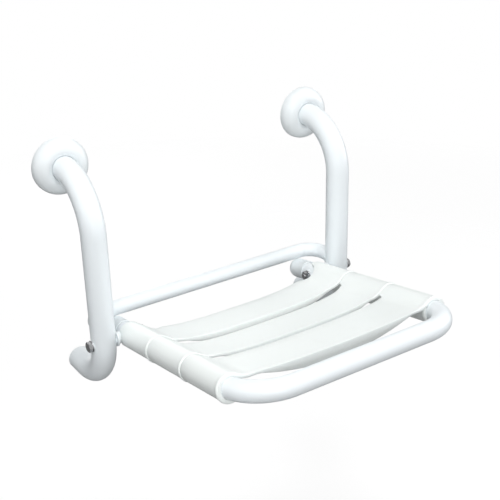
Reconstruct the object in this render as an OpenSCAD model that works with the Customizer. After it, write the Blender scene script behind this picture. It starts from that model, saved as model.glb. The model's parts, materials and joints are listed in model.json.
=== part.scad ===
// Folding shower seat for a wall: two tube arms carry a hinged seat frame with moulded slats.
// Millimetres. The origin lies on the wall, midway between the centres of the two flanges.
// +X runs along the wall, +Y points into it and +Z points up.

/* [Arms] */
// Distance between the centre lines of the two arms
arm_spacing = 397; // [385:1:460]
// Outside diameter of the arm tube
arm_dia = 33.7; // [30:0.1:36]
// Wall thickness of the arm tube
arm_wall = 2.6; // [1.5:0.1:4]
// Distance from the wall to the centre line of an arm's upright
wall_reach = 90; // [84:1:110]
// Distance from the flange centres down to the hinge line
hinge_drop = 226; // [190:1:300]
// Centre line radius of an arm's upper bend
upper_bend = 72.5; // [60:0.5:78]
// Centre line radius of an arm's lower bend
lower_bend = 64; // [50:0.5:70]
// Distance from the hinge line down to an arm's lower leg
foot_drop = 65.5; // [60:0.5:90]

/* [Wall fixing] */
// Diameter of a wall plate
plate_dia = 74; // [66:1:90]
// Thickness of a wall plate
plate_thick = 4; // [3:0.5:8]
// Diameter of the circle of screw holes in a plate
screw_circle = 54; // [50:1:60]
// Number of screw holes in a plate
screw_count = 4; // [4:4:8]
// Diameter of a screw hole
screw_hole = 6.5; // [4.5:0.1:7]
// Depth of a flange cover, from the wall to its crown
cover_depth = 20; // [16:0.5:30]
// Thickness of a cover's shell
cover_wall = 1.7; // [1:0.1:3]
// Depth of the straight rim at a cover's edge
cover_rim = 3; // [1:0.5:6]
// Distance from the tube out to a cover's crown
cover_crown = 5.5; // [3:0.5:10]
// Thickness of a foot cap's disc between the leg and the wall
foot_pad = 3; // [2:0.5:6]
// Length of a foot cap's plug inside the leg
foot_plug = 14; // [8:1:20]

/* [Stop bar] */
// Outside diameter of the stop bar
bar_dia = 21.3; // [16:0.1:26]
// Wall thickness of the stop bar
bar_wall = 2; // [1:0.1:4]
// Distance from the wall to the centre line of the stop bar
bar_reach = 37; // [30:0.5:42]
// Centre line radius of the bends at the stop bar's ends
bar_bend = 30; // [24:0.5:36]
// How far the stop bar's ends lie inside the arms' centre lines
bar_end_inset = 4; // [0:0.5:6]

/* [Seat frame] */
// Distance from an arm's centre line in to the centre line of its side rail
rail_inset = 40; // [38:0.5:60]
// Outside diameter of the seat frame tube
rail_dia = 26.9; // [25:0.1:28]
// Wall thickness of the seat frame tube
rail_wall = 2; // [1:0.1:4]
// Distance from the hinge line to the centre line of the front rail
rail_front = 304; // [290:1:360]
// Distance that the side rails run on behind the hinge line
rail_back = 43; // [36:1:46]
// Centre line radius of the seat frame's two corners
corner_bend = 56.5; // [40:0.5:70]
// Tilt of the open seat, front edge up
seat_tilt = 10; // [0:0.5:14]
// Greatest diameter of the rubber buffer on a rail's rear end
buffer_dia = 29.6; // [28.5:0.1:32]
// Diameter of a buffer at its mouth
buffer_mouth_dia = 28.6; // [28.4:0.1:30]
// Distance from the hinge line back to a buffer's mouth
buffer_mouth = 16; // [12:0.5:24]
// Distance from the hinge line back to the centre of a buffer's round end
buffer_centre = 41.5; // [36:0.5:50]

/* [Pivots] */
// Diameter of a pivot bolt
bolt_dia = 8; // [6:0.5:8]
// Width across the flats of a bolt's head and of its nut
hex_width = 13; // [10:0.5:13]
// Height of a bolt's head
head_height = 5.3; // [4:0.1:7]
// Height of a pivot nut
nut_height = 5.2; // [4:0.1:8]
// Length of bolt that shows past its nut
bolt_tip = 1.2; // [0.5:0.1:3]
// Outside diameter of a washer
washer_dia = 16; // [13:0.5:17]
// Thickness of a washer
washer_thick = 1.2; // [0.8:0.1:2]
// Outside diameter of the barrel welded through an arm
arm_barrel_dia = 14; // [12:0.5:16]
// Outside diameter of the barrel welded through a rail
rail_barrel_dia = 16; // [14:0.5:17]
// Inside diameter of the barrel welded through a rail
rail_barrel_bore = 12; // [11:0.5:13]
// Length that a barrel stands out of its tube on each side
barrel_proud = 0.3; // [0.1:0.1:1]
// Thickness of a pivot bush's flange
bush_flange = 0.8; // [0.5:0.1:1.5]
// Length of a pivot bush's body inside the barrel
bush_length = 11; // [6:0.5:12]
// Diameter of the spacer between an arm and its rail
spacer_dia = 17; // [14:0.5:18]
// Diameter of the spacer's collar against the arm
collar_dia = 22; // [18:0.5:24]
// Thickness of the spacer's collar
collar_thick = 2.5; // [1:0.5:4]

/* [Slats] */
// Distance from the hinge line to the front face of the front slat
slats_front = 258; // [240:1:262]
// Distance from one slat's front face to the next
slat_pitch = 87; // [78:1:88]
// Distance from the hinge line to the rear end of the rear slat's sleeves
slats_back = 1.5; // [0.5:0.1:14]
// Thickness of a slat's sleeve round the rail
sleeve_wall = 4.5; // [3:0.1:5]
// Height of the bead round the front end of a sleeve
bead_rise = 1; // [0.5:0.1:1.5]
// Width of that bead
bead_width = 3.5; // [2:0.5:6]
// Thickness of a slat's web
web_thick = 4; // [3:0.5:5]
// Thickness of the lips and ribs under a slat
lip_thick = 3; // [2:0.5:5]
// Depth of the front lip at the middle of a slat
lip_depth = 17; // [14:0.5:26]
// Depth of the rear lip
rear_lip_depth = 9; // [5:0.5:14]
// Width of the drain slot behind a slat's web
slot_width = 8.5; // [6:0.5:12]
// Distance from a slot's end to the sleeve's centre line
slot_inset = 21; // [20:0.5:34]

/* [Hidden] */
$fn = 64;

// Clearances
plate_gap = 0.3;    // between a wall plate's edge and its cover
cover_gap = 0.9;    // between an arm and the hole in its cover
weld_gap = 0.05;    // between two welded pieces
slide_gap = 0.15;   // between a rail and what is pushed on to it, and beside a pivot's flanges
plug_gap = 0.1;     // between a foot cap's plug and the leg's bore
bolt_gap = 0.2;     // between a bolt and the fixed holes that it passes
running_gap = 0.06; // between a bolt and the bushes that turn on it
rest_gap = 0.3;     // between the buffers and the stop bar when the seat is open
slat_gap = 0.4;     // between two slats
notch_gap = 0.7;    // between a pivot's spacer and the notch for it in the rear slat
cut = 1;            // length that a cutter runs past a face

white_paint = [0.96, 0.97, 0.98];
white_plastic = [0.93, 0.95, 0.94];
grey_rubber = [0.85, 0.88, 0.88];
bright_steel = [0.78, 0.79, 0.80];

arm_x = arm_spacing / 2;
rail_x = arm_x - rail_inset;
arm_r = arm_dia / 2;
rail_r = rail_dia / 2;
bar_r = bar_dia / 2;
buffer_r = buffer_dia / 2;
sleeve_bore_r = rail_r + slide_gap;
sleeve_r = sleeve_bore_r + sleeve_wall;

// Heights along an arm, below the flange centres
leg_drop = hinge_drop + foot_drop;
lower_bend_drop = leg_drop - lower_bend;

// The open seat's buffers press up against the stop bar, which sets the bar's height over the hinge
ball_y = -wall_reach + buffer_centre * cos(seat_tilt);
ball_z = -buffer_centre * sin(seat_tilt);
ball_to_bar = buffer_r + rest_gap + bar_r;
bar_rise = ball_z + sqrt(pow(ball_to_bar, 2) - pow(-bar_reach - ball_y, 2));

// Stations along a pivot's axis, from the middle of the seat outwards
rail_barrel_in = rail_x - rail_r - barrel_proud;
rail_barrel_out = rail_x + rail_r + barrel_proud;
inner_washer_out = rail_barrel_in - bush_flange - slide_gap;
nut_out = inner_washer_out - washer_thick;
bolt_in = nut_out - nut_height - bolt_tip;
spacer_in = rail_barrel_out + bush_flange + slide_gap;
arm_barrel_in = arm_x - arm_r - barrel_proud;
arm_barrel_out = arm_x + arm_r + barrel_proud;
head_in = arm_barrel_out + washer_thick;

// Slats, from the rear to the front: height of the web's middle over the rails' centre plane, the
// web's slope from rear to front in degrees, and how late its ends turn up to the sleeves. Together
// they give the seat its shallow hollow.
web_level = [-5.2, -4.4, 1.9];
web_slope = [2.1, 5.2, 3.3];
web_power = [3.5, 3.7, 2.5];
web_edge_level = 9;  // height at which a web meets its sleeves
web_edge_inset = 13; // distance from a sleeve's centre line to that edge
web_steps = 40;      // straight pieces in a web's outline
rib_depth = 14;      // depth of the rib under the middle of a slat
lip_inset = 27;      // distance from a sleeve's centre line to where the lips and the rib run out
pocket_r = 17;       // radius of the rear slat's cut-outs, through which a spanner reaches the nuts
pocket_inset = 24.5; // distance from a sleeve's centre line in to the axis of its cut-out
pocket_front = 3;    // distance from the hinge line forwards to that axis
web_edge = rail_x - web_edge_inset;
slot_end = rail_x - slot_inset;
slot_r = slot_width / 2;
lip_half = rail_x - lip_inset;
last_row = len(web_level) - 1;
notch_r = max(spacer_dia, rail_barrel_dia) / 2 + notch_gap;

// ---------- Helpers ----------

// Puts a shape drawn in the XY plane upright beside the wall: X becomes Y, Y becomes Z, Z becomes X.
module in_side_view() {
  rotate([90, 0, 90]) children();
}

// A cylinder along X from one station to another.
module along_x(from, to, r) {
  translate([from, 0, 0]) rotate([0, 90, 0]) cylinder(r = r, h = to - from);
}

// A six-sided prism along X, measured across its flats.
module hex_along_x(from, to, width) {
  translate([from, 0, 0]) rotate([0, 90, 0]) cylinder(r = width / 2 / cos(30), h = to - from, $fn = 6);
}

// A quarter bend that starts on +X and turns towards +Y.
module quarter_bend(bend_r, tube_r) {
  rotate_extrude(angle = 90, $fn = 96) translate([bend_r, 0]) circle(r = tube_r);
}

// The children at the right-hand side and mirrored to the left.
module both_sides() {
  children();
  mirror([1, 0, 0]) children();
}

// The children on the hinge line.
module at_hinge() {
  translate([0, -wall_reach, -hinge_drop]) children();
}

// The children in the seat's own frame: on the hinge line, tilted, with the front towards -Y.
module on_seat() {
  at_hinge() rotate([-seat_tilt, 0, 0]) children();
}

// ---------- Wall frame ----------

module wall_plate() {
  color(white_paint) rotate([90, 0, 0]) difference() {
    cylinder(r = plate_dia / 2, h = plate_thick);
    for (i = [0 : screw_count - 1]) {
      rotate([0, 0, 90 + i * 360 / screw_count]) translate([screw_circle / 2, 0, -cut])
        cylinder(r = screw_hole / 2, h = plate_thick + 2 * cut);
    }
  }
}

// The volume of a bent arm of a given radius, which can run on past its two ends.
module arm_path(r, over) {
  top_straight = wall_reach - upper_bend;
  leg_straight = wall_reach - lower_bend;
  in_side_view() {
    translate([-top_straight, 0, 0]) rotate([0, 90, 0])
      cylinder(r = r, h = top_straight - plate_thick + over);
    translate([-top_straight, -upper_bend, 0]) rotate([0, 0, 90]) quarter_bend(upper_bend, r);
    translate([-wall_reach, -upper_bend, 0]) rotate([90, 0, 0])
      cylinder(r = r, h = lower_bend_drop - upper_bend);
    translate([-leg_straight, -lower_bend_drop, 0]) rotate([0, 0, 180]) quarter_bend(lower_bend, r);
    translate([-leg_straight, -leg_drop, 0]) rotate([0, 90, 0])
      cylinder(r = r, h = leg_straight - foot_pad + over);
  }
}

module arm() {
  color(white_paint) difference() {
    arm_path(arm_r, 0);
    arm_path(arm_r - arm_wall, cut);
    at_hinge() along_x(-arm_r - cut, arm_r + cut, arm_barrel_dia / 2 + weld_gap);
  }
}

// Outline of a cover from its rim to the hole for the tube, inset by t from the outer face.
// The shoulder is a quarter of an ellipse, and the crown dips towards the hole.
function cover_outline(t) = let (
    crown_r = arm_r + cover_crown,
    rim_r = plate_dia / 2 + plate_gap + cover_wall,
    steps = 10
  ) concat(
    [[rim_r - t, 0]],
    [for (i = [0 : steps]) let (a = i * 90 / steps)
      [crown_r + (rim_r - t - crown_r) * cos(a), cover_rim + (cover_depth - t - cover_rim) * sin(a)]],
    [[arm_r + cover_gap, cover_depth - cover_crown / 2 - t]]
  );

module flange_cover() {
  outer = cover_outline(0);
  inner = cover_outline(cover_wall);
  shell = concat(outer, [for (i = [len(inner) - 1 : -1 : 0]) inner[i]]);
  color(white_plastic) rotate([90, 0, 0]) rotate_extrude() polygon(shell);
}

module foot_cap() {
  color(white_plastic) translate([0, 0, -leg_drop]) rotate([90, 0, 0]) {
    cylinder(r = arm_r, h = foot_pad);
    cylinder(r = arm_r - arm_wall - plug_gap, h = foot_pad + foot_plug);
  }
}

// The volume of the stop bar of a given radius, which runs on past its joint with the arms.
module bar_path(r) {
  end_x = arm_x - bar_end_inset;
  bend_x = end_x - bar_bend;
  translate([0, 0, bar_rise - hinge_drop]) {
    translate([0, -bar_reach, 0]) along_x(-bend_x, bend_x, r);
    both_sides() {
      translate([bend_x, -bar_reach - bar_bend, 0]) quarter_bend(bar_bend, r);
      translate([end_x, -bar_reach - bar_bend, 0]) rotate([90, 0, 0])
        cylinder(r = r, h = wall_reach - bar_reach - bar_bend);
    }
  }
}

module stop_bar() {
  color(white_paint) difference() {
    bar_path(bar_r);
    bar_path(bar_r - bar_wall);
    both_sides() translate([arm_x, 0, 0]) arm_path(arm_r + weld_gap, 0);
  }
}

// ---------- Pivots ----------

module arm_barrels() {
  color(white_paint) both_sides() at_hinge() difference() {
    along_x(arm_barrel_in, arm_barrel_out, arm_barrel_dia / 2);
    along_x(arm_barrel_in - cut, arm_barrel_out + cut, bolt_dia / 2 + bolt_gap);
  }
}

module pivot_spacers() {
  color(white_plastic) both_sides() at_hinge() difference() {
    union() {
      along_x(spacer_in, arm_barrel_in, spacer_dia / 2);
      along_x(arm_barrel_in - collar_thick, arm_barrel_in, collar_dia / 2);
    }
    along_x(spacer_in - cut, arm_barrel_in + cut, bolt_dia / 2 + bolt_gap);
  }
}

module pivot_washers() {
  color(bright_steel) both_sides() at_hinge()
    for (from = [nut_out, arm_barrel_out]) difference() {
      along_x(from, from + washer_thick, washer_dia / 2);
      along_x(from - cut, from + washer_thick + cut, bolt_dia / 2 + bolt_gap);
    }
}

module pivot_bolts() {
  color(bright_steel) both_sides() at_hinge() {
    along_x(bolt_in, head_in, bolt_dia / 2);
    hex_along_x(head_in, head_in + head_height, hex_width);
  }
}

module pivot_nuts() {
  color(bright_steel) both_sides() at_hinge() difference() {
    hex_along_x(nut_out - nut_height, nut_out, hex_width);
    along_x(nut_out - nut_height - cut, nut_out + cut, bolt_dia / 2);
  }
}

// ---------- Seat ----------

// The volume of the U-shaped seat frame of a given radius, in the seat's own frame.
module frame_path(r, over) {
  corner_x = rail_x - corner_bend;
  side_front = rail_front - corner_bend;
  translate([0, -rail_front, 0]) along_x(-corner_x, corner_x, r);
  both_sides() {
    translate([corner_x, -side_front, 0]) rotate([0, 0, -90]) quarter_bend(corner_bend, r);
    translate([rail_x, rail_back + over, 0]) rotate([90, 0, 0])
      cylinder(r = r, h = rail_back + over + side_front);
  }
}

module seat_frame() {
  color(white_paint) on_seat() difference() {
    frame_path(rail_r, 0);
    frame_path(rail_r - rail_wall, cut);
    both_sides() along_x(rail_x - rail_r - cut, rail_x + rail_r + cut, rail_barrel_dia / 2 + weld_gap);
  }
}

module rail_buffer() {
  color(grey_rubber) on_seat() rotate([-90, 0, 0]) difference() {
    union() {
      translate([0, 0, buffer_mouth])
        cylinder(r1 = buffer_mouth_dia / 2, r2 = buffer_r, h = buffer_centre - buffer_mouth);
      translate([0, 0, buffer_centre]) rotate_extrude() intersection() {
        circle(r = buffer_r);
        square(buffer_r);
      }
    }
    cylinder(r = sleeve_bore_r, h = rail_back + slide_gap);
  }
}

module rail_barrels() {
  color(white_paint) both_sides() on_seat() difference() {
    along_x(rail_barrel_in, rail_barrel_out, rail_barrel_dia / 2);
    along_x(rail_barrel_in - cut, rail_barrel_out + cut, rail_barrel_bore / 2);
  }
}

// One flanged bush, pressed into a barrel's end from inside outwards (1) or from outside inwards (-1).
module pivot_bush(face, inwards) {
  flange_out = face - inwards * bush_flange;
  body_in = face + inwards * bush_length;
  difference() {
    union() {
      along_x(min(face, flange_out), max(face, flange_out), rail_barrel_dia / 2);
      along_x(min(face, body_in), max(face, body_in), rail_barrel_bore / 2 - weld_gap);
    }
    along_x(min(flange_out, body_in) - cut, max(flange_out, body_in) + cut, bolt_dia / 2 + running_gap);
  }
}

module pivot_bushes() {
  color(white_plastic) both_sides() on_seat() {
    pivot_bush(rail_barrel_in, 1);
    pivot_bush(rail_barrel_out, -1);
  }
}

// Height of a row's web at x, over the middle line of its upper face.
function web_top(x, row) = (web_edge_level - web_level[row]) * pow(abs(x) / web_edge, web_power[row]);

// Depth of the front lip or of a rib at x, from the web's upper face.
function lip_at(x, depth) = max(web_thick, depth * (1 - pow(x / lip_half, 2)));

// Section of a web across the seat, raised by rise and with a given depth at its middle.
module web_section(row, rise, depth) {
  xs = [for (i = [0 : web_steps]) web_edge * (2 * i / web_steps - 1)];
  upper = [for (x = xs) [x, web_top(x, row) + rise]];
  lower = [for (i = [web_steps : -1 : 0]) [xs[i], web_top(xs[i], row) - lip_at(xs[i], depth)]];
  polygon(concat(upper, lower));
}

// A web section with a thickness along the seat, from a station forwards.
module web_strip(row, station, thick, rise, depth) {
  translate([0, -station, 0]) rotate([90, 0, 0]) linear_extrude(height = thick)
    web_section(row, rise, depth);
}

// An upright lip or rib, from a station forwards, at the height of the sloping web there.
module lip(row, station, rise, depth) {
  translate([0, 0, (station + lip_thick / 2) * tan(web_slope[row])])
    web_strip(row, station, lip_thick, rise, depth);
}

// A slat of a given row between two stations: sleeves, web, front lip with its bead, rear lip and rib.
// Only the rear slat reaches the pivots' cut-outs.
module slat(row, back, front) {
  middle = (back + front) / 2;
  half = (front - back) / 2;
  color(white_plastic) on_seat() difference() {
    union() {
      both_sides() {
        translate([rail_x, -back, 0]) rotate([90, 0, 0]) cylinder(r = sleeve_r, h = front - back);
        translate([rail_x, -front + bead_width, 0]) rotate([90, 0, 0])
          cylinder(r = sleeve_r + bead_rise, h = bead_width);
      }
      difference() {
        translate([0, -middle, web_level[row]]) {
          intersection() {
            rotate([-web_slope[row], 0, 0]) web_strip(row, -half - cut, 2 * (half + cut), 0, web_thick);
            cube([2 * rail_x, 2 * half, 4 * lip_depth], center = true);
          }
          lip(row, half - lip_thick, bead_rise, lip_depth);
          lip(row, -half + slot_width, 0, rear_lip_depth);
          lip(row, -lip_thick / 2, 0, rib_depth);
        }
        slot_cutter(back);
      }
    }
    frame_path(sleeve_bore_r, cut);
    both_sides() pivot_cutter();
  }
}

// Keeps the rear slat clear of the right-hand pivot: a notch for the spacer on the sleeve's outer
// side, and a round cut-out for the nut on its inner side.
module pivot_cutter() {
  height = 4 * lip_depth;
  along_x(rail_x, rail_x + sleeve_r + cut, notch_r);
  translate([rail_x - pocket_inset, -pocket_front, -height / 2]) cylinder(r = pocket_r, h = height);
}

// Clears the drain slot behind a web: a wide slot with round ends.
module slot_cutter(back) {
  height = 4 * lip_depth;
  translate([0, -back - slot_r, -height / 2]) {
    translate([0, cut, height / 2])
      cube([2 * (slot_end - slot_r), slot_width + 2 * cut, height], center = true);
    both_sides() translate([slot_end - slot_r, 0, 0]) cylinder(r = slot_r, h = height);
  }
}

module slat_row(row) {
  front = slats_front - (last_row - row) * slat_pitch;
  back = row == 0 ? slats_back : front - slat_pitch + slat_gap;
  slat(row, back, front);
}

translate([-arm_x, 0, 0]) wall_plate();  // left_wall_plate
translate([arm_x, 0, 0]) wall_plate();  // right_wall_plate
translate([-arm_x, 0, 0]) arm();  // left_arm
translate([arm_x, 0, 0]) arm();  // right_arm
translate([-arm_x, 0, 0]) flange_cover();  // left_flange_cover
translate([arm_x, 0, 0]) flange_cover();  // right_flange_cover
translate([-arm_x, 0, 0]) foot_cap();  // left_foot_cap
translate([arm_x, 0, 0]) foot_cap();  // right_foot_cap
stop_bar();
arm_barrels();
pivot_spacers();
pivot_washers();
pivot_bolts();
pivot_nuts();
seat_frame();
translate([-rail_x, 0, 0]) rail_buffer();  // left_rail_buffer
translate([rail_x, 0, 0]) rail_buffer();  // right_rail_buffer
rail_barrels();
pivot_bushes();
slat_row(0);  // rear_slat
slat_row(1);  // middle_slat
slat_row(2);  // front_slat
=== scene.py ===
import json
import math
import bmesh
import bpy
from mathutils import Matrix, Vector


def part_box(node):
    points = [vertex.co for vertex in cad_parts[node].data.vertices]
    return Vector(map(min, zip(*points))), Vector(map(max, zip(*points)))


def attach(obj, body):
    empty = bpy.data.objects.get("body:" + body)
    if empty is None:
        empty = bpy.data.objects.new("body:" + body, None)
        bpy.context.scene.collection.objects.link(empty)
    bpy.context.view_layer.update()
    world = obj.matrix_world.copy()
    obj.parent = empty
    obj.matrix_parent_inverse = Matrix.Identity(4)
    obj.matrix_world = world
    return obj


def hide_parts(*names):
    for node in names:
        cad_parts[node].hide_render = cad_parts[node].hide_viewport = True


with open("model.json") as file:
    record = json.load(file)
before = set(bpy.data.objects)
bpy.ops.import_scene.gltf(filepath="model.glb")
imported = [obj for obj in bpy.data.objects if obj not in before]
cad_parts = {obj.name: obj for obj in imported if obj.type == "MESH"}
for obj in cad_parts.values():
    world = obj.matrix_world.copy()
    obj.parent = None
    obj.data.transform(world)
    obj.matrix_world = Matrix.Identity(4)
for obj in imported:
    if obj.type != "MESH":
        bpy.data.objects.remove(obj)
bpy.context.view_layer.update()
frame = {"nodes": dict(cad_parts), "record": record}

hinge = Vector(frame["record"]["behaviour"]["joints"][0]["pos_m"])


# ---------- Arms ----------
# Two mild steel tubes, each bent twice in one plane: out from the wall plate, down, and back to the
# wall. They are welded up with the stop bar and powder coated white, which leaves a fine orange peel.

class Link:
    """An output in a material's nodes. Calculating with it adds the Math nodes that do the sum."""

    def __init__(self, tree, socket):
        self.tree = tree
        self.socket = socket

    def _sum(self, operation, first, second):
        node = self.tree.nodes.new("ShaderNodeMath")
        node.operation = operation
        for place, value in enumerate((first, second)):
            feed(self.tree, node.inputs[place], value)
        return Link(self.tree, node.outputs[0])

    def __add__(self, other):
        return self._sum("ADD", self, other)

    def __sub__(self, other):
        return self._sum("SUBTRACT", self, other)

    def __rsub__(self, other):
        return self._sum("SUBTRACT", other, self)

    def __mul__(self, other):
        return self._sum("MULTIPLY", self, other)

    __radd__ = __add__
    __rmul__ = __mul__


def feed(tree, socket, value):
    """Joins a link to a socket, or sets the socket to a plain value."""
    if isinstance(value, Link):
        tree.links.new(value.socket, socket)
    else:
        socket.default_value = value


class Finish:
    """A surface finish: one Principled shader and the nodes that vary it over a piece."""

    def __init__(self, name, **even):
        self.material = bpy.data.materials.new(name)
        self.material.use_nodes = True
        self.tree = self.material.node_tree
        self.shader = self.tree.nodes["Principled BSDF"]
        for socket, value in even.items():
            label = socket.replace("_", " ").title().replace("Ior", "IOR")
            self.shader.inputs[label].default_value = value
        self.place = self.node("ShaderNodeTexCoord", output="Object")

    def node(self, kind, settings=None, inputs=None, output=0):
        """Adds a node of a type, sets it up, feeds its sockets and gives one of its outputs."""
        node = self.tree.nodes.new(kind)
        for setting, value in (settings or {}).items():
            setattr(node, setting, value)
        for socket, value in (inputs or {}).items():
            feed(self.tree, node.inputs[socket], value)
        return Link(self.tree, node.outputs[output])

    def noise(self, scale, detail=3.0, stretch=(1, 1, 1)):
        """Noise whose scale is in features per metre, drawn out along an axis by a small stretch."""
        place = self.node("ShaderNodeMapping", None, {"Vector": self.place, "Scale": stretch})
        inputs = {"Vector": place, "Scale": scale, "Detail": detail}
        return self.node("ShaderNodeTexNoise", None, inputs)

    def between(self, amount, low, high, low_at=0.3, high_at=0.7):
        """A number that runs from low to high as an amount runs between two marks."""
        inputs = {"Value": amount, "From Min": low_at, "From Max": high_at, "To Min": low, "To Max": high}
        return self.node("ShaderNodeMapRange", None, inputs)

    def blend(self, amount, first, second):
        """A colour between two colours."""
        node = self.tree.nodes.new("ShaderNodeMix")
        node.data_type = "RGBA"
        feed(self.tree, node.inputs["Factor"], amount)
        for socket, colour in ((node.inputs[6], first), (node.inputs[7], second)):
            feed(self.tree, socket, colour if isinstance(colour, Link) else (*colour, 1))
        return Link(self.tree, node.outputs[2])

    def vary(self, **links):
        """Feeds the shader's sockets with what changes over the surface."""
        for socket, link in links.items():
            feed(self.tree, self.shader.inputs[socket.replace("_", " ").title()], link)

    def emboss(self, height, depth):
        """Raises the surface by a height map whose full range is depth in metres."""
        inputs = {"Height": height, "Distance": depth, "Strength": 1.0}
        self.vary(Normal=self.node("ShaderNodeBump", None, inputs))


def powder_coat():
    """Gloss white powder coat: orange peel, faint clouding, and duller patches where hands rub it."""
    finish = Finish("white powder coat", specular_ior_level=0.35, coat_roughness=0.2, coat_weight=0.06)
    clouds = finish.noise(9.0)
    specks = finish.between(finish.noise(900.0, detail=2.0), 0.0, 1.0, low_at=0.68, high_at=0.78)
    white = finish.blend(clouds, (0.815, 0.862, 0.890), (0.845, 0.885, 0.905))
    finish.vary(Base_Color=finish.blend(specks * 0.25, white, (0.66, 0.69, 0.70)))
    finish.vary(Roughness=finish.between(finish.noise(26.0, detail=4.0), 0.32, 0.44))
    peel = finish.noise(330.0, detail=1.0) + 0.25 * finish.noise(1100.0, detail=2.0)
    finish.emboss(peel, depth=0.00002)
    return finish.material


class Tree:
    """A Geometry Nodes tree with named inputs, made node by node."""

    def __init__(self, name, sizes):
        self.group = bpy.data.node_groups.new(name, "GeometryNodeTree")
        self.sockets = {}
        interface = self.group.interface
        for label, kind in {"Geometry": "Geometry", **sizes, "Material": "Material"}.items():
            socket = interface.new_socket(label, in_out="INPUT", socket_type="NodeSocket" + kind)
            self.sockets[label] = socket.identifier
        interface.new_socket("Geometry", in_out="OUTPUT", socket_type="NodeSocketGeometry")
        self.given = self.group.nodes.new("NodeGroupInput")

    def size(self, label):
        """One of the tree's named inputs."""
        return Link(self.group, self.given.outputs[label])

    def node(self, kind, settings=None, inputs=None):
        """Adds a node, sets it up, feeds its sockets and gives its first output."""
        node = self.group.nodes.new(kind)
        for setting, value in (settings or {}).items():
            setattr(node, setting, value)
        for socket, value in (inputs or {}).items():
            for link in value if isinstance(value, list) else [value]:
                feed(self.group, node.inputs[socket], link)
        return Link(self.group, node.outputs[0])

    def finish(self, geometry):
        """Ends the tree: real geometry, in the piece's material."""
        real = self.node("GeometryNodeRealizeInstances", None, {"Geometry": geometry})
        inputs = {"Geometry": real, "Material": self.size("Material")}
        coated = self.node("GeometryNodeSetMaterial", None, inputs)
        result = self.group.nodes.new("NodeGroupOutput")
        self.group.links.new(coated.socket, result.inputs[0])

    def shape(self, obj, **values):
        """Adds the tree to an object and sets its named inputs."""
        modifier = obj.modifiers.new(self.group.name, "NODES")
        modifier.node_group = self.group
        for label, value in values.items():
            modifier[self.sockets[label.replace("_", " ")]] = value


def new_piece(name, vertices, edges=(), faces=()):
    """A mesh object from its points, edges and faces, at the origin."""
    mesh = bpy.data.meshes.new(name)
    lists = [[tuple(item) for item in items] for items in (vertices, edges, faces)]
    mesh.from_pydata(*lists)
    obj = bpy.data.objects.new(name, mesh)
    bpy.context.scene.collection.objects.link(obj)
    return obj


joined_within = 1e-6


def settle(obj, sharp_degrees=38):
    """Makes a piece and its modifiers one plain mesh, smooth but for its sharp edges, faces outwards."""
    scene_state = bpy.context.evaluated_depsgraph_get()
    mesh = bpy.data.meshes.new_from_object(obj.evaluated_get(scene_state))
    obj.modifiers.clear()
    obj.data = mesh
    work = bmesh.new()
    work.from_mesh(mesh)
    bmesh.ops.remove_doubles(work, verts=work.verts, dist=joined_within)
    bmesh.ops.dissolve_degenerate(work, edges=work.edges, dist=joined_within / 10)
    bmesh.ops.recalc_face_normals(work, faces=work.faces)
    work.to_mesh(mesh)
    work.free()
    mesh.shade_smooth()
    mesh.set_sharp_from_angle(angle=math.radians(sharp_degrees))
    return obj


def fit(obj, body, slot, *nodes):
    """Puts a finished piece on its body and in place of CAD nodes. Its slot is not used."""
    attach(obj, body)
    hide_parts(*nodes)


bend_steps = 30
tube_sides = 72


def bent_tube_tree():
    """A tube along a path of straight stretches, each corner bent to its own radius."""
    tree = Tree("bent tube", {"Tube Radius": "Float"})
    path = tree.node("GeometryNodeMeshToCurve", None, {"Mesh": tree.size("Geometry")})
    bend = tree.node("GeometryNodeInputNamedAttribute", {"data_type": "FLOAT"}, {"Name": "bend"})
    corners = {"Curve": path, "Radius": bend, "Count": bend_steps, "Limit Radius": False}
    path = tree.node("GeometryNodeFilletCurve", {"mode": "POLY"}, corners)
    ring = {"Resolution": tube_sides, "Radius": tree.size("Tube Radius")}
    ring = tree.node("GeometryNodeCurvePrimitiveCircle", {"mode": "RADIUS"}, ring)
    tube = tree.node("GeometryNodeCurveToMesh", None, {"Curve": path, "Profile Curve": ring})
    tree.finish(tube)
    return tree


def bent_tube(name, corners, bends, radius, wall, material):
    """A hollow tube along corner points, with a bend radius for each corner between the two ends."""
    obj = new_piece(name, corners, zip(range(len(corners) - 1), range(1, len(corners))))
    bend = obj.data.attributes.new("bend", "FLOAT", "POINT")
    bend.data.foreach_set("value", [0.0, *bends, 0.0])
    tube_tree.shape(obj, Tube_Radius=radius, Material=material)
    shell = obj.modifiers.new("wall", "SOLIDIFY")
    shell.thickness = wall
    shell.offset = -1
    return settle(obj)


tube_tree = bent_tube_tree()
white_coat = powder_coat()
arm_wall = 0.0026
arm_upper_bend = 0.0725
arm_lower_bend = 0.064
for side in ("left", "right"):
    low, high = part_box(side + "_arm")
    arm_radius = (high.x - low.x) / 2
    arm_x = (low.x + high.x) / 2
    upright_y = low.y + arm_radius
    top_z = high.z - arm_radius
    leg_z = low.z + arm_radius
    plate_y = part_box(side + "_wall_plate")[0].y
    corners = [(arm_x, plate_y, top_z), (arm_x, upright_y, top_z)]
    corners += [(arm_x, upright_y, leg_z), (arm_x, high.y, leg_z)]
    bends = [arm_upper_bend, arm_lower_bend]
    arm = bent_tube(side + "_arm_tube", corners, bends, arm_radius, arm_wall, white_coat)
    fit(arm, "wall_frame", "painted_tube", side + "_arm")


# ---------- Wall plates ----------
# Steel discs welded to the arms' upper ends, drilled for wall screws and coated with them.
# The flange covers hide them from the front.

for side in ("left", "right"):
    plate = frame["nodes"][side + "_wall_plate"]
    plate.data.materials.clear()
    plate.data.materials.append(white_coat)


# ---------- Flange covers ----------
# Thin ABS domes moulded in gloss white. They slide down the arm and snap over the wall plate, with
# a small gap round the tube.

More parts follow.
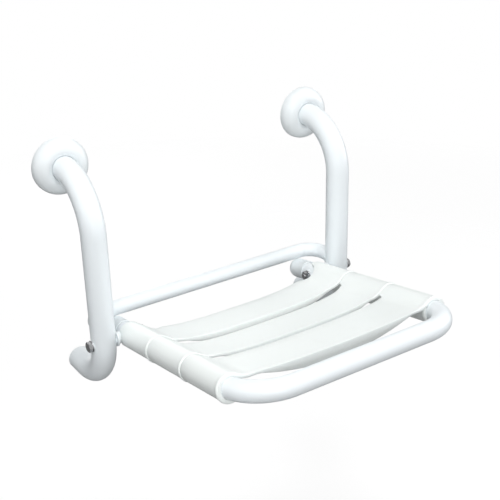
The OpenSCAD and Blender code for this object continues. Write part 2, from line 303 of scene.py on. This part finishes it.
def cover_plastic():
    """Gloss injection moulding: nearly even, with faint flow clouds and light wipe marks."""
    finish = Finish("gloss white moulding", specular_ior_level=0.5)
    clouds = finish.noise(30.0, detail=2.0)
    finish.vary(Base_Color=finish.blend(clouds, (0.795, 0.84, 0.86), (0.835, 0.87, 0.885)))
    wipes = finish.noise(60.0, detail=5.0, stretch=(1, 1, 0.25))
    finish.vary(Roughness=finish.between(wipes, 0.30, 0.42))
    finish.emboss(finish.noise(160.0, detail=2.0), depth=0.000015)
    return finish.material


def rounded(outline, steps=6):
    """An outline of (radius, height, rounding) points with each corner rounded by its own radius."""
    result = []
    for i, (r, h, rounding) in enumerate(outline):
        corner = Vector((r, h))
        before = Vector(outline[i - 1][:2]) - corner
        after = Vector(outline[(i + 1) % len(outline)][:2]) - corner
        if rounding == 0:
            result.append(corner)
            continue
        half_angle = before.angle(after) / 2
        back = rounding / math.tan(half_angle)
        centre = corner + (before.normalized() + after.normalized()).normalized() * (
            rounding / math.sin(half_angle))
        start = corner + before.normalized() * back - centre
        end = corner + after.normalized() * back - centre
        sweep = start.angle_signed(end)
        result += [centre + Matrix.Rotation(-sweep * k / steps, 2) @ start for k in range(steps + 1)]
    return result


def turned(outline, origin, axis, steps=96):
    """The points and faces of a closed outline of (radius, height) spun round an axis."""
    axis = Vector(axis).normalized()
    side = axis.orthogonal().normalized()
    other = axis.cross(side)
    vertices, faces = [], []
    count = len(outline)
    for k in range(steps):
        angle = 2 * math.pi * k / steps
        out = side * math.cos(angle) + other * math.sin(angle)
        vertices += [Vector(origin) + out * p[0] + axis * p[1] for p in outline]
        ring, following = k * count, (k + 1) % steps * count
        for i in range(count):
            j = (i + 1) % count
            faces.append((ring + i, ring + j, following + j, following + i))
    return vertices, faces


def turned_piece(name, outline, origin, axis, material):
    """A turned piece, finished but for its body."""
    vertices, faces = turned(outline, origin, axis)
    obj = new_piece(name, vertices, (), faces)
    obj.data.materials.append(material)
    return settle(obj)


gloss_plastic = cover_plastic()
cover_wall = 0.0017
cover_rim = 0.003
cover_crown = 0.0055
hole_gap = 0.0004
rim_round = 0.0006
hole_round = 0.0005
inside_round = 0.0004
shoulder_steps = 20
into_room = (0, -1, 0)
for side in ("left", "right"):
    low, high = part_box(side + "_flange_cover")
    rim_radius = (high.x - low.x) / 2
    depth = high.y - low.y
    hole = arm_radius + hole_gap
    crown_radius = arm_radius + cover_crown
    outline = [(rim_radius, 0, rim_round)]
    for k in range(shoulder_steps + 1):
        angle = math.pi / 2 * k / shoulder_steps
        across = crown_radius + (rim_radius - crown_radius) * math.cos(angle)
        outline.append((across, cover_rim + (depth - cover_rim) * math.sin(angle), 0))
    outline.append((hole, depth - cover_crown / 2, hole_round))
    outline.append((hole, depth - cover_crown / 2 - cover_wall, inside_round))
    for k in range(shoulder_steps, -1, -1):
        angle = math.pi / 2 * k / shoulder_steps
        across = crown_radius + (rim_radius - cover_wall - crown_radius) * math.cos(angle)
        outline.append((across, cover_rim + (depth - cover_wall - cover_rim) * math.sin(angle), 0))
    outline.append((rim_radius - cover_wall, 0, inside_round))
    centre = ((low.x + high.x) / 2, 0, (low.z + high.z) / 2)
    cover = turned_piece(side + "_cover_dome", rounded(outline), centre, into_room, gloss_plastic)
    fit(cover, "wall_frame", "cover_plastic", side + "_flange_cover")


# ---------- Foot caps ----------
# Moulded plugs in the lower ends of the arms. Their discs keep the cut tube off the tiles.

foot_pad = 0.003
plug_gap = 0.0001
disc_round = 0.0008
pad_round = 0.0003
plug_round = 0.0015
for side in ("left", "right"):
    low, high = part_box(side + "_foot_cap")
    disc = (high.x - low.x) / 2
    plug = arm_radius - arm_wall - plug_gap
    outline = [(0, 0, 0), (disc, 0, disc_round), (disc, foot_pad, pad_round), (plug, foot_pad, 0)]
    outline += [(plug, high.y - low.y, plug_round), (0, high.y - low.y, 0)]
    centre = ((low.x + high.x) / 2, 0, (low.z + high.z) / 2)
    cap = turned_piece(side + "_foot_plug", rounded(outline), centre, into_room, gloss_plastic)
    fit(cap, "wall_frame", "cover_plastic", side + "_foot_cap")


# ---------- Stop bar ----------
# A thinner tube bent at both ends and welded into the backs of the arms just over the hinge. The
# open seat's buffers press up against it. Each end has a fillet of weld under the coating.

weld_sides = 14
weld_steps = 72


def weld_tree():
    """A bead of weld along a closed path."""
    tree = Tree("weld bead", {"Bead Radius": "Float"})
    path = tree.node("GeometryNodeMeshToCurve", None, {"Mesh": tree.size("Geometry")})
    ring = {"Resolution": weld_sides, "Radius": tree.size("Bead Radius")}
    ring = tree.node("GeometryNodeCurvePrimitiveCircle", {"mode": "RADIUS"}, ring)
    bead = tree.node("GeometryNodeCurveToMesh", None, {"Curve": path, "Profile Curve": ring})
    tree.finish(bead)
    return tree


low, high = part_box("stop_bar")
bar_radius = (high.z - low.z) / 2
bar_z = (low.z + high.z) / 2
bar_y = high.y - bar_radius
bar_wall = 0.002
bar_bend = 0.030
bar_sunk = 0.006
bar_end_x = high.x - bar_radius
weld_radius = 0.0014
bar_end_y = upright_y + arm_radius - bar_sunk
corners = [(-bar_end_x, bar_end_y, bar_z), (-bar_end_x, bar_y, bar_z),
           (bar_end_x, bar_y, bar_z), (bar_end_x, bar_end_y, bar_z)]
bar = bent_tube("stop_bar_tube", corners, [bar_bend, bar_bend], bar_radius, bar_wall, white_coat)
fit(bar, "wall_frame", "painted_tube", "stop_bar")

weld_points, weld_edges = [], []
for side in (-1, 1):
    first = len(weld_points)
    for k in range(weld_steps):
        angle = 2 * math.pi * k / weld_steps
        out = bar_radius * math.cos(angle)
        off_arm = bar_end_x + out - arm_x
        on_arm = upright_y + math.sqrt(arm_radius ** 2 - off_arm ** 2)
        weld_points.append((side * (bar_end_x + out), on_arm, bar_z + bar_radius * math.sin(angle)))
        weld_edges.append((first + k, first + (k + 1) % weld_steps))
welds = new_piece("stop_bar_welds", weld_points, weld_edges)
weld_tree().shape(welds, Bead_Radius=weld_radius, Material=white_coat)
settle(welds)
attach(welds, "wall_frame")


# ---------- Pivots ----------
# At each side a plated hex bolt passes a barrel in the arm, a moulded spacer and two bushes in the
# rail, and ends in a nut. Washers lie under head and nut. Both sides are one stack, turned round.

def plated_steel():
    """Plated steel gone a little dull: fine turning lines, and small brighter and duller patches."""
    finish = Finish("bright plated steel", metallic=1.0)
    lines = finish.noise(900.0, detail=4.0, stretch=(0.12, 1, 1))
    patches = finish.noise(220.0)
    finish.vary(Base_Color=finish.blend(patches, (0.34, 0.34, 0.35), (0.62, 0.63, 0.64)))
    finish.vary(Roughness=finish.between(lines, 0.08, 0.20))
    finish.emboss(lines, depth=0.00002)
    return finish.material


def pair_tree():
    """A piece and its copy turned half round the object's middle, on the hinge line."""
    tree = Tree("pair of sides", {"Hinge Shift": "Vector", "Half Turn": "Vector"})
    inputs = {"Geometry": tree.size("Geometry"), "Translation": tree.size("Hinge Shift")}
    inputs["Rotation"] = tree.size("Half Turn")
    copy = tree.node("GeometryNodeTransform", None, inputs)
    both = tree.node("GeometryNodeJoinGeometry", None, {"Geometry": [tree.size("Geometry"), copy]})
    tree.finish(both)
    return tree


def paired(name, parts, material, slot, node):
    """A CAD node's two like pieces, from the points and faces of the right-hand one."""
    vertices, faces = [], []
    for points, sides in parts:
        faces += [tuple(len(vertices) + i for i in face) for face in sides]
        vertices += points
    obj = new_piece(name, vertices, (), faces)
    sides_tree.shape(obj, Hinge_Shift=(0, 2 * hinge.y, 0), Half_Turn=(0, 0, math.pi), Material=material)
    settle(obj, sharp_degrees=30)
    fit(obj, "wall_frame", slot, node)


hex_steps = 96
hex_shoulder = 0.95
hex_foot = 0.96
hex_foot_edge = 0.0002
turned_off = math.tan(math.radians(30))


def hexagon(width, height, bore, origin, axis, both_ends):
    """A hexagon round an axis with its corners turned off at the top, or at both ends, and a bore."""
    inner = width / 2 * hex_shoulder
    outline_at = []
    for k in range(hex_steps):
        from_flat = 30 - abs((k * 360 / hex_steps) % 60 - 30)
        flat = width / 2 / math.cos(math.radians(from_flat))
        drop = (flat - inner) * turned_off
        if both_ends:
            base = [(bore, 0), (inner, 0), (flat, drop)]
        else:
            base = [(bore, 0), (flat * hex_foot, 0), (flat, hex_foot_edge)]
        outline_at.append(base + [(flat, height - drop), (inner, height), (bore, height)])
    side = Vector((0, 0, 1))
    axis = Vector(axis)
    other = axis.cross(side)
    count = len(outline_at[0])
    vertices, faces = [], []
    for k, outline in enumerate(outline_at):
        angle = 2 * math.pi * k / hex_steps
        out = side * math.cos(angle) + other * math.sin(angle)
        vertices += [Vector(origin) + out * r + axis * h for r, h in outline]
        ring, following = k * count, (k + 1) % hex_steps * count
        for i in range(count):
            j = (i + 1) % count
            faces.append((ring + i, ring + j, following + j, following + i))
    return vertices, faces


def right_hand_span(node):
    """The inner and the outer end of a CAD node's right-hand pieces, along the hinge line."""
    xs = [vertex.co.x for vertex in frame["nodes"][node].data.vertices if vertex.co.x > 0]
    return min(xs), max(xs)


sides_tree = pair_tree()
bright_steel = plated_steel()
outwards = (1, 0, 0)
bolt_radius = 0.004
hex_width = 0.013
washer_radius = 0.008
washer_thick = 0.0012
washer_hole = 0.0042
thread_pitch = 0.00125
thread_depth = 0.0005
thread_turns = 8
tip_chamfer = 0.0008
tip_round = 0.0003
shank_in_head = 0.001
shank_sides = 48
bolt_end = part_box("pivot_bolts")[1].x
head_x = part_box("pivot_washers")[1].x
bolt_tip_x = right_hand_span("pivot_bolts")[0]
nut_x, nut_out = right_hand_span("pivot_nuts")

shank = [(0, 0, 0), (bolt_radius - tip_chamfer, 0, tip_round)]
along = tip_chamfer
for _ in range(thread_turns):
    shank += [(bolt_radius, along, 0), (bolt_radius - thread_depth, along + thread_pitch / 2, 0)]
    along += thread_pitch
shank_end = head_x - bolt_tip_x + shank_in_head
shank += [(bolt_radius, along, 0), (bolt_radius, shank_end, 0), (0, shank_end, 0)]
tip = (bolt_tip_x, hinge.y, hinge.z)
head = (head_x, hinge.y, hinge.z)
bolt = [turned(rounded(shank), tip, outwards, shank_sides)]
bolt.append(hexagon(hex_width, bolt_end - head_x, 0, head, outwards, False))
paired("bolts", bolt, bright_steel, "bright_steel", "pivot_bolts")

nut_place = (nut_x, hinge.y, hinge.z)
nut = [hexagon(hex_width, nut_out - nut_x, bolt_radius, nut_place, outwards, True)]
paired("nuts", nut, bright_steel, "bright_steel", "pivot_nuts")

washer_hole_round = 0.0002
washer_under_round = 0.0003
washer_top_round = 0.0004
ring = [(washer_hole, 0, washer_hole_round), (washer_radius, 0, washer_under_round)]
ring += [(washer_radius, washer_thick, washer_top_round), (washer_hole, washer_thick, washer_hole_round)]
washers = [turned(rounded(ring, steps=3), (x, hinge.y, hinge.z), outwards)
           for x in (nut_out, head_x - washer_thick)]
paired("washers", washers, bright_steel, "bright_steel", "pivot_washers")

spacer_in, spacer_out = right_hand_span("pivot_spacers")
spacer_radius = 0.0085
collar_radius = 0.011
collar_thick = 0.0025
spacer_hole_round = 0.0003
spacer_edge_round = 0.0005
neck_round = 0.001
collar_round = 0.0007
length = spacer_out - spacer_in
neck_end = length - collar_thick
outline = [(washer_hole, 0, spacer_hole_round), (spacer_radius, 0, spacer_edge_round)]
outline += [(spacer_radius, neck_end, neck_round), (collar_radius, neck_end, collar_round)]
outline += [(collar_radius, length, collar_round), (washer_hole, length, spacer_hole_round)]
spacer = [turned(rounded(outline), (spacer_in, hinge.y, hinge.z), outwards)]
paired("spacers", spacer, gloss_plastic, "cover_plastic", "pivot_spacers")

hidden_parts = (("arm_barrels", white_coat), ("rail_barrels", white_coat), ("pivot_bushes", gloss_plastic))
for name, material in hidden_parts:
    part = frame["nodes"][name]
    part.data.materials.clear()
    part.data.materials.append(material)


# ---------- Seat frame ----------
# One tube bent to a U, open at the back, in the same white coat. The slats are threaded on to its
# side rails before the pivots go in.

seat_tilt = math.radians(10)


def on_seat(x, forward, up):
    """A point in the row frame from its place on the tilted seat, measured from the hinge line."""
    y = hinge.y - forward * math.cos(seat_tilt) + up * math.sin(seat_tilt)
    z = hinge.z + forward * math.sin(seat_tilt) + up * math.cos(seat_tilt)
    return Vector((x, y, z))


low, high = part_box("seat_frame")
rail_radius = 0.01345
rail_wall = 0.002
rail_x = high.x - rail_radius
rail_front = 0.304
rail_back = 0.043
corner_bend = 0.0565
corners = [on_seat(-rail_x, -rail_back, 0), on_seat(-rail_x, rail_front, 0)]
corners += [on_seat(rail_x, rail_front, 0), on_seat(rail_x, -rail_back, 0)]
bends = [corner_bend, corner_bend]
seat_tube = bent_tube("seat_tube", corners, bends, rail_radius, rail_wall, white_coat)
fit(seat_tube, "seat", "painted_tube", "seat_frame")


# ---------- Rail buffers ----------
# Soft rubber caps pushed on to the rails' rear ends. They are a little wider at the round end that
# meets the stop bar, and have a rolled lip at the mouth.

def buffer_rubber():
    """Pale rubber, nearly white: matt, with a fine moulded grain and a little dust."""
    finish = Finish("pale grey rubber", specular_ior_level=0.35)
    dust = finish.noise(45.0, detail=4.0)
    finish.vary(Base_Color=finish.blend(dust, (0.83, 0.885, 0.91), (0.88, 0.92, 0.935)))
    finish.vary(Roughness=finish.between(dust, 0.46, 0.62))
    finish.emboss(finish.noise(1400.0), depth=0.00008)
    return finish.material


rubber = buffer_rubber()
push_gap = 0.00015
ball_radius = 0.0148
ball_steps = 18
mouth_radius = 0.0143
mouth_bore = rail_radius + push_gap
mouth_at = 0.016
mouth_lip = 0.0004
lip_to = mouth_at + 0.0016
lip_gone = mouth_at + 0.0022
bore_round = 0.0002
mouth_round = 0.0004
lip_round = 0.0005
ball_at = 0.0415
bore_end = rail_back + push_gap
backwards = on_seat(0, -1, 0) - on_seat(0, 0, 0)
for side, x in (("left", -rail_x), ("right", rail_x)):
    outline = [(mouth_bore, mouth_at, bore_round), (mouth_radius + mouth_lip, mouth_at, mouth_round)]
    outline += [(mouth_radius + mouth_lip, lip_to, lip_round), (mouth_radius, lip_gone, 0)]
    for k in range(ball_steps + 1):
        angle = math.pi / 2 * k / ball_steps
        outline.append((ball_radius * math.cos(angle), ball_at + ball_radius * math.sin(angle), 0))
    outline += [(0, bore_end, 0), (mouth_bore, bore_end, 0)]
    cap = turned_piece(side + "_buffer_cap", rounded(outline), on_seat(x, 0, 0), backwards, rubber)
    fit(cap, "seat", "buffer_rubber", side + "_rail_buffer")


# ---------- Slats ----------
# Three polypropylene mouldings, each one wall curled round both side rails. A bead runs along the
# front edge, with lips and a rib below for stiffness, and each leaves a drain slot behind its web.

def slat_plastic():
    """Fine-grained moulding in a white with a trace of green: soft sheen, cloudy flow, light scuffs."""
    finish = Finish("satin white moulding", specular_ior_level=0.42)
    flow = finish.noise(14.0, stretch=(0.35, 1, 1))
    scratches = finish.noise(70.0, detail=6.0, stretch=(1, 0.25, 1))
    scuffs = finish.between(scratches, 0.0, 1.0, low_at=0.60, high_at=0.72)
    white = finish.blend(flow, (0.850, 0.892, 0.880), (0.878, 0.910, 0.898))
    finish.vary(Base_Color=finish.blend(scuffs * 0.12, white, (0.74, 0.77, 0.75)))
    finish.vary(Roughness=finish.between(flow, 0.36, 0.46) - 0.05 * scuffs)
    finish.emboss(finish.noise(2100.0, detail=2.0), depth=0.00006)
    return finish.material


def smooth_step(value, low, high):
    """Runs from 0 to 1 between two marks, level at both."""
    share = min(1, max(0, (value - low) / (high - low)))
    return share * share * (3 - 2 * share)


satin_plastic = slat_plastic()
slats_front = 0.258
slat_pitch = 0.087
slat_gap = 0.0004
slats_back = 0.0015
# The webs, from the rear slat to the front one: height at the middle, slope along the seat, and how
# late the web curves up to its sleeves.
web_levels = (-0.0052, -0.0044, 0.0019)
web_slopes = (math.radians(2.1), math.radians(5.2), math.radians(3.3))
web_powers = (3.5, 3.7, 2.5)
web_edge = 0.1455
web_edge_level = 0.009
web_thick = 0.004
sleeve_bore = 0.0136
sleeve_wall = 0.0045
sleeve_radius = sleeve_bore + sleeve_wall
slot_width = 0.0085
slot_end = 0.1375
lip_end = 0.1315
slot_curve = 0.00425
spacer_notch = 0.0092
pocket_x = rail_x - 0.0245
pocket_front = 0.003
pocket_radius = 0.017
front_lip = 0.017
middle_rib = 0.014
rear_lip = 0.009
lip_thick = 0.003
# The bead: how far back from the slat's front edge, and what share of bead_rise it stands up there.
bead = ((0.0075, 0), (0.0068, 0.06), (0.0058, 0.3), (0.0048, 0.66), (0.0040, 0.90), (0.0033, 0.99),
        (0.0028, 1.0), (0.0021, 0.93), (0.0014, 0.72), (0.0008, 0.40), (0.0003, -0.12))
bead_rise = 0.001
bead_on_web = 0.35
# The rounded edges under the bead and at the wall's rear: how far from the edge, and how high.
bead_foot = ((0.0001, -0.0007), (0, -0.0014))
rear_round = ((0, -0.0008), (0.0001, -0.0004), (0.0003, -0.00015), (0.0008, 0))
level_fade = (0.120, 0.146)
blend_from = 0.128
blend_to = math.radians(120)
blend_pull = 0.0085
curl_end = math.radians(-210)
curl_tuck = math.radians(-190)
tuck = 0.0005
web_steps = 48
blend_steps = 14
curl_steps = 60
top_steps = 5
# The lips' corners: where each rounding starts, and how far off the corner its middle lies.
face_round, face_mid = 0.001, 0.0003
foot_round, foot_mid = 0.0008, 0.0002
root_round, root_mid = 0.0015, 0.0005
full_round_depth = 0.003


class Station:
    """One place along a slat's wall, seen along the rails: where it is, which way is out, how thick."""

    def __init__(self, x, up, out, thick, level_share, tucked=0.0):
        self.x, self.up, self.out, self.thick = x, up, out, thick
        self.level_share = level_share
        self.tucked = tucked


def wall_stations(level, web_power):
    """The stations of a slat's right half, from its middle out and round the rail."""
    rise = web_edge_level - level

    def web(x):
        height = level + rise * (x / web_edge) ** web_power
        return height, rise * web_power / web_edge * (x / web_edge) ** (web_power - 1)

    stations = []
    for k in range(web_steps + 1):
        x = blend_from * k / web_steps
        height, slope = web(x)
        share = 1 - smooth_step(x, *level_fade)
        stations.append(Station(x, height, Vector((-slope, 1)).normalized(), web_thick, share))
    height, slope = web(blend_from)
    start = Vector((blend_from, height))
    end = Vector((rail_x + sleeve_radius * math.cos(blend_to), sleeve_radius * math.sin(blend_to)))
    start_pull = start + Vector((1, slope)).normalized() * blend_pull
    end_pull = end - Vector((math.sin(blend_to), -math.cos(blend_to))) * blend_pull
    for k in range(1, blend_steps):
        t = k / blend_steps
        rest = 1 - t
        point = start * rest ** 3 + 3 * start_pull * t * rest ** 2
        point += 3 * end_pull * t * t * rest
        point += end * t ** 3
        along = (start_pull - start) * rest ** 2 + 2 * (end_pull - start_pull) * t * rest
        along += (end - end_pull) * t * t
        out = Vector((-along.y, along.x)).normalized()
        thick = web_thick + (sleeve_wall - web_thick) * t
        stations.append(Station(point.x, point.y, out, thick, 1 - smooth_step(point.x, *level_fade)))
    for k in range(curl_steps + 1):
        angle = blend_to + (curl_end - blend_to) * k / curl_steps
        out = Vector((math.cos(angle), math.sin(angle)))
        tucked = tuck if angle < curl_tuck else 0
        x = rail_x + sleeve_radius * out.x
        stations.append(Station(x, sleeve_radius * out.y, out, sleeve_wall, 0, tucked))
    return stations


def wall_section(station, back, front):
    """The closed outline of a slat's wall at a station: (forward, out, down) places in order."""
    middle = (back + front) / 2
    from_end = (slot_end - station.x) / slot_curve
    if from_end > 0:
        back += slot_width * (1 + math.sqrt(1 - max(0, 1 - from_end) ** 2)) / 2
    back += station.tucked
    from_pocket = abs(station.x - pocket_x)
    if from_pocket < pocket_radius:
        back = max(back, pocket_front + math.sqrt(pocket_radius ** 2 - from_pocket ** 2))
    if station.x > rail_x and abs(station.up) < spacer_notch:
        back = max(back, math.sqrt(spacer_notch ** 2 - station.up ** 2))
    front -= station.tucked
    taper = 1 - (station.x / lip_end) ** 2
    section = [(back + s, n, 0) for s, n in rear_round]
    flat_from, flat_to = back + rear_round[-1][0], front - bead[0][0]
    section += [(flat_from + (flat_to - flat_from) * k / top_steps, 0, 0) for k in range(1, top_steps)]
    rise = bead_rise * (1 - (1 - bead_on_web) * station.level_share)
    section += [(front - s, n * rise, 0) for s, n in bead]
    under = -station.thick

    def lip(face, outer, depth, sign):
        """Down an outer face, round a lip's foot and up its inner face to the wall."""
        extra = max(0, depth * taper - station.thick)
        share = min(1, extra / full_round_depth)
        side_end = extra - foot_round * share
        corner_mid = extra - foot_mid * share
        if outer:
            foot = [(face, under + face_round, extra), (face - sign * face_mid, under + face_mid, extra)]
        else:
            foot = [(face + sign * face_round, under, 0)]
            foot += [(face + sign * face_mid, under, face_mid * share), (face, under, face_round * share)]
            foot += [(face, under, side_end), (face - sign * foot_mid, under, corner_mid)]
        inner = face - sign * lip_thick
        foot += [(face - sign * foot_round, under, extra), (inner + sign * foot_round, under, extra)]
        foot += [(inner + sign * foot_mid, under, corner_mid), (inner, under, side_end)]
        foot += [(inner, under, root_round * share), (inner - sign * root_mid, under, root_mid * share)]
        return foot + [(inner - sign * root_round, under, 0)]

    section += [(front - s, n, 0) for s, n in bead_foot]
    section += lip(front, True, front_lip, 1)
    section += lip(middle + lip_thick / 2, False, middle_rib, 1)
    section += reversed(lip(back, True, rear_lip, -1))
    return section


def slat(name, row):
    """A slat of a row, counted from the rear."""
    level, slope = web_levels[row], math.tan(web_slopes[row])
    front = slats_front - (len(web_levels) - 1 - row) * slat_pitch
    back = front - slat_pitch + slat_gap if row else slats_back
    middle = (back + front) / 2
    bend_start = rail_front - corner_bend
    half = wall_stations(level, web_powers[row])
    vertices, faces = [], []
    columns = [(station, -1) for station in reversed(half[1:])] + [(station, 1) for station in half]
    for station, side in columns:
        for s, n, down in wall_section(station, back, front):
            x = station.x + station.out.x * n
            up = station.up + station.out.y * n + station.level_share * (s - middle) * slope - down
            if station.level_share == 0 and n < -sleeve_wall / 2 and s > bend_start:
                x -= corner_bend - math.sqrt(corner_bend ** 2 - (s - bend_start) ** 2)
            vertices.append(on_seat(side * x, s, up))
    count = len(vertices) // len(columns)
    for column in range(len(columns) - 1):
        for i in range(count):
            j = (i + 1) % count
            first, second = column * count, (column + 1) * count
            faces.append((first + i, first + j, second + j, second + i))
    faces.append(range(count))
    faces.append(reversed(range(len(vertices) - count, len(vertices))))
    obj = new_piece(name + "_moulding", vertices, (), [tuple(face) for face in faces])
    obj.data.materials.append(satin_plastic)
    settle(obj, sharp_degrees=50)
    fit(obj, "seat", "slat_plastic", name)


for row, name in enumerate(("rear_slat", "middle_slat", "front_slat")):
    slat(name, row)


# ---------- Floor, light and camera ----------
# A pale floor at a shower seat's usual height below it, which fades into a white room, and soft
# lamps: overhead, high and low in front, at the left, at the right, and on the wall's side.

def floor_paint(glow_strength, fade_from, fade_to):
    """Keeps a shadow, looks white to the camera beside it, and fades away towards its edge."""
    finish = Finish("pale floor", roughness=0.9, specular_ior_level=0.1)
    mottle = finish.noise(3.0)
    finish.vary(Base_Color=finish.blend(mottle, (0.22, 0.22, 0.22), (0.24, 0.24, 0.24)))
    ray = finish.node("ShaderNodeLightPath", None, None, "Is Camera Ray")
    glow = finish.node("ShaderNodeEmission", None, {"Strength": ray * glow_strength}, "Emission")
    paint = Link(finish.tree, finish.shader.outputs[0])
    lit = finish.node("ShaderNodeAddShader", None, {0: paint, 1: glow})
    distance = finish.node("ShaderNodeVectorMath", {"operation": "LENGTH"}, {0: finish.place}, "Value")
    from_below = finish.node("ShaderNodeNewGeometry", None, None, "Backfacing")
    solid = finish.between(distance, 1.0, 0.0, fade_from, fade_to) * (1 - from_below)
    clear = finish.node("ShaderNodeBsdfTransparent")
    mixed = finish.node("ShaderNodeMixShader", None, {"Fac": solid, 1: clear, 2: lit})
    feed(finish.tree, finish.tree.nodes["Material Output"].inputs["Surface"], mixed)
    return finish.material


floor_drop = 0.45
floor_radius = 2.4
floor_side_degrees = 3
floor_glow = 0.785
floor_fade = (0.9, 2.2)
circle = [(floor_radius * math.cos(math.radians(a)), floor_radius * math.sin(math.radians(a)), 0)
          for a in range(0, 360, floor_side_degrees)]
floor = new_piece("floor", circle, (), [range(len(circle))])
floor.location = (0, hinge.y, hinge.z - floor_drop)
floor.data.materials.append(floor_paint(floor_glow, *floor_fade))

world = bpy.data.worlds.new("white room")
world.use_nodes = True
bpy.context.scene.world = world
sky = world.node_tree
background = sky.nodes["Background"]
room_light = 0.3
ray_kind = sky.nodes.new("ShaderNodeLightPath")
direction = sky.nodes.new("ShaderNodeSeparateXYZ")
sky.links.new(sky.nodes.new("ShaderNodeTexCoord").outputs["Generated"], direction.inputs[0])
ceiling = sky.nodes.new("ShaderNodeMapRange")
for label, value in (("From Min", 0.0), ("From Max", 0.7), ("To Min", 0.12), ("To Max", 1.0)):
    ceiling.inputs[label].default_value = value
sky.links.new(direction.outputs["Z"], ceiling.inputs["Value"])
mirrored = Link(sky, ray_kind.outputs["Is Glossy Ray"]) * (Link(sky, ceiling.outputs[0]) - room_light)
seen = (1 - room_light) * Link(sky, ray_kind.outputs["Is Camera Ray"])
feed(sky, background.inputs["Strength"], room_light + seen + mirrored)
background.inputs["Color"].default_value = (1, 1, 1, 1)


lamp_target = Vector((0, hinge.y - 0.1, hinge.z))


def lamp(name, place, size, power, colour):
    """A square softbox aimed at the middle of the seat."""
    light = bpy.data.lights.new(name, "AREA")
    light.shape = "SQUARE"
    light.size = size
    light.energy = power
    light.color = colour
    obj = bpy.data.objects.new(name, light)
    obj.location = place
    aim = lamp_target - obj.location
    obj.rotation_euler = aim.to_track_quat("-Z", "Y").to_euler()
    bpy.context.scene.collection.objects.link(obj)


lamp("overhead", (-0.3, -0.6, 1.9), 0.6, 21, (1, 1, 0.99))
lamp("front_softbox", (-1.2, -1.8, 1.3), 1.0, 11.5, (1, 1, 1))
lamp("low_front_softbox", (-0.6, -2.0, 0.3), 1.0, 11, (1, 1, 1))
lamp("left_softbox", (-1.8, -0.5, 0.6), 1.0, 5.5, (0.97, 0.99, 1))
lamp("right_softbox", (1.85, -0.7, 0.45), 1.0, 18, (0.97, 0.98, 1))
lamp("wall_side_softbox", (0.5, 1.9, 0.2), 1.2, 9.5, (1, 1, 1))

camera_place = (-0.64714, -1.13101, 0.41404)
camera_degrees = (-33.1211, -23.6256, -1.5176)
yaw, pitch, roll = (math.radians(angle) for angle in camera_degrees)
forward = Vector((-math.sin(yaw) * math.cos(pitch), math.cos(yaw) * math.cos(pitch), math.sin(pitch)))
right = forward.cross(Vector((0, 0, 1))).normalized()
above = right.cross(forward)
turned_right = math.cos(roll) * right + math.sin(roll) * above
turned_up = math.cos(roll) * above - math.sin(roll) * right
lens = bpy.data.cameras.new("camera")
lens.lens = 68.82
lens.sensor_width = 36
lens.shift_x = 0.01
lens.shift_y = -0.03
camera = bpy.data.objects.new("camera", lens)
camera_frame = Matrix((turned_right, turned_up, -forward)).transposed().to_4x4()
camera_frame.translation = camera_place
camera.matrix_world = camera_frame
bpy.context.scene.collection.objects.link(camera)
bpy.context.scene.camera = camera
bpy.context.scene.view_settings.view_transform = "Standard"
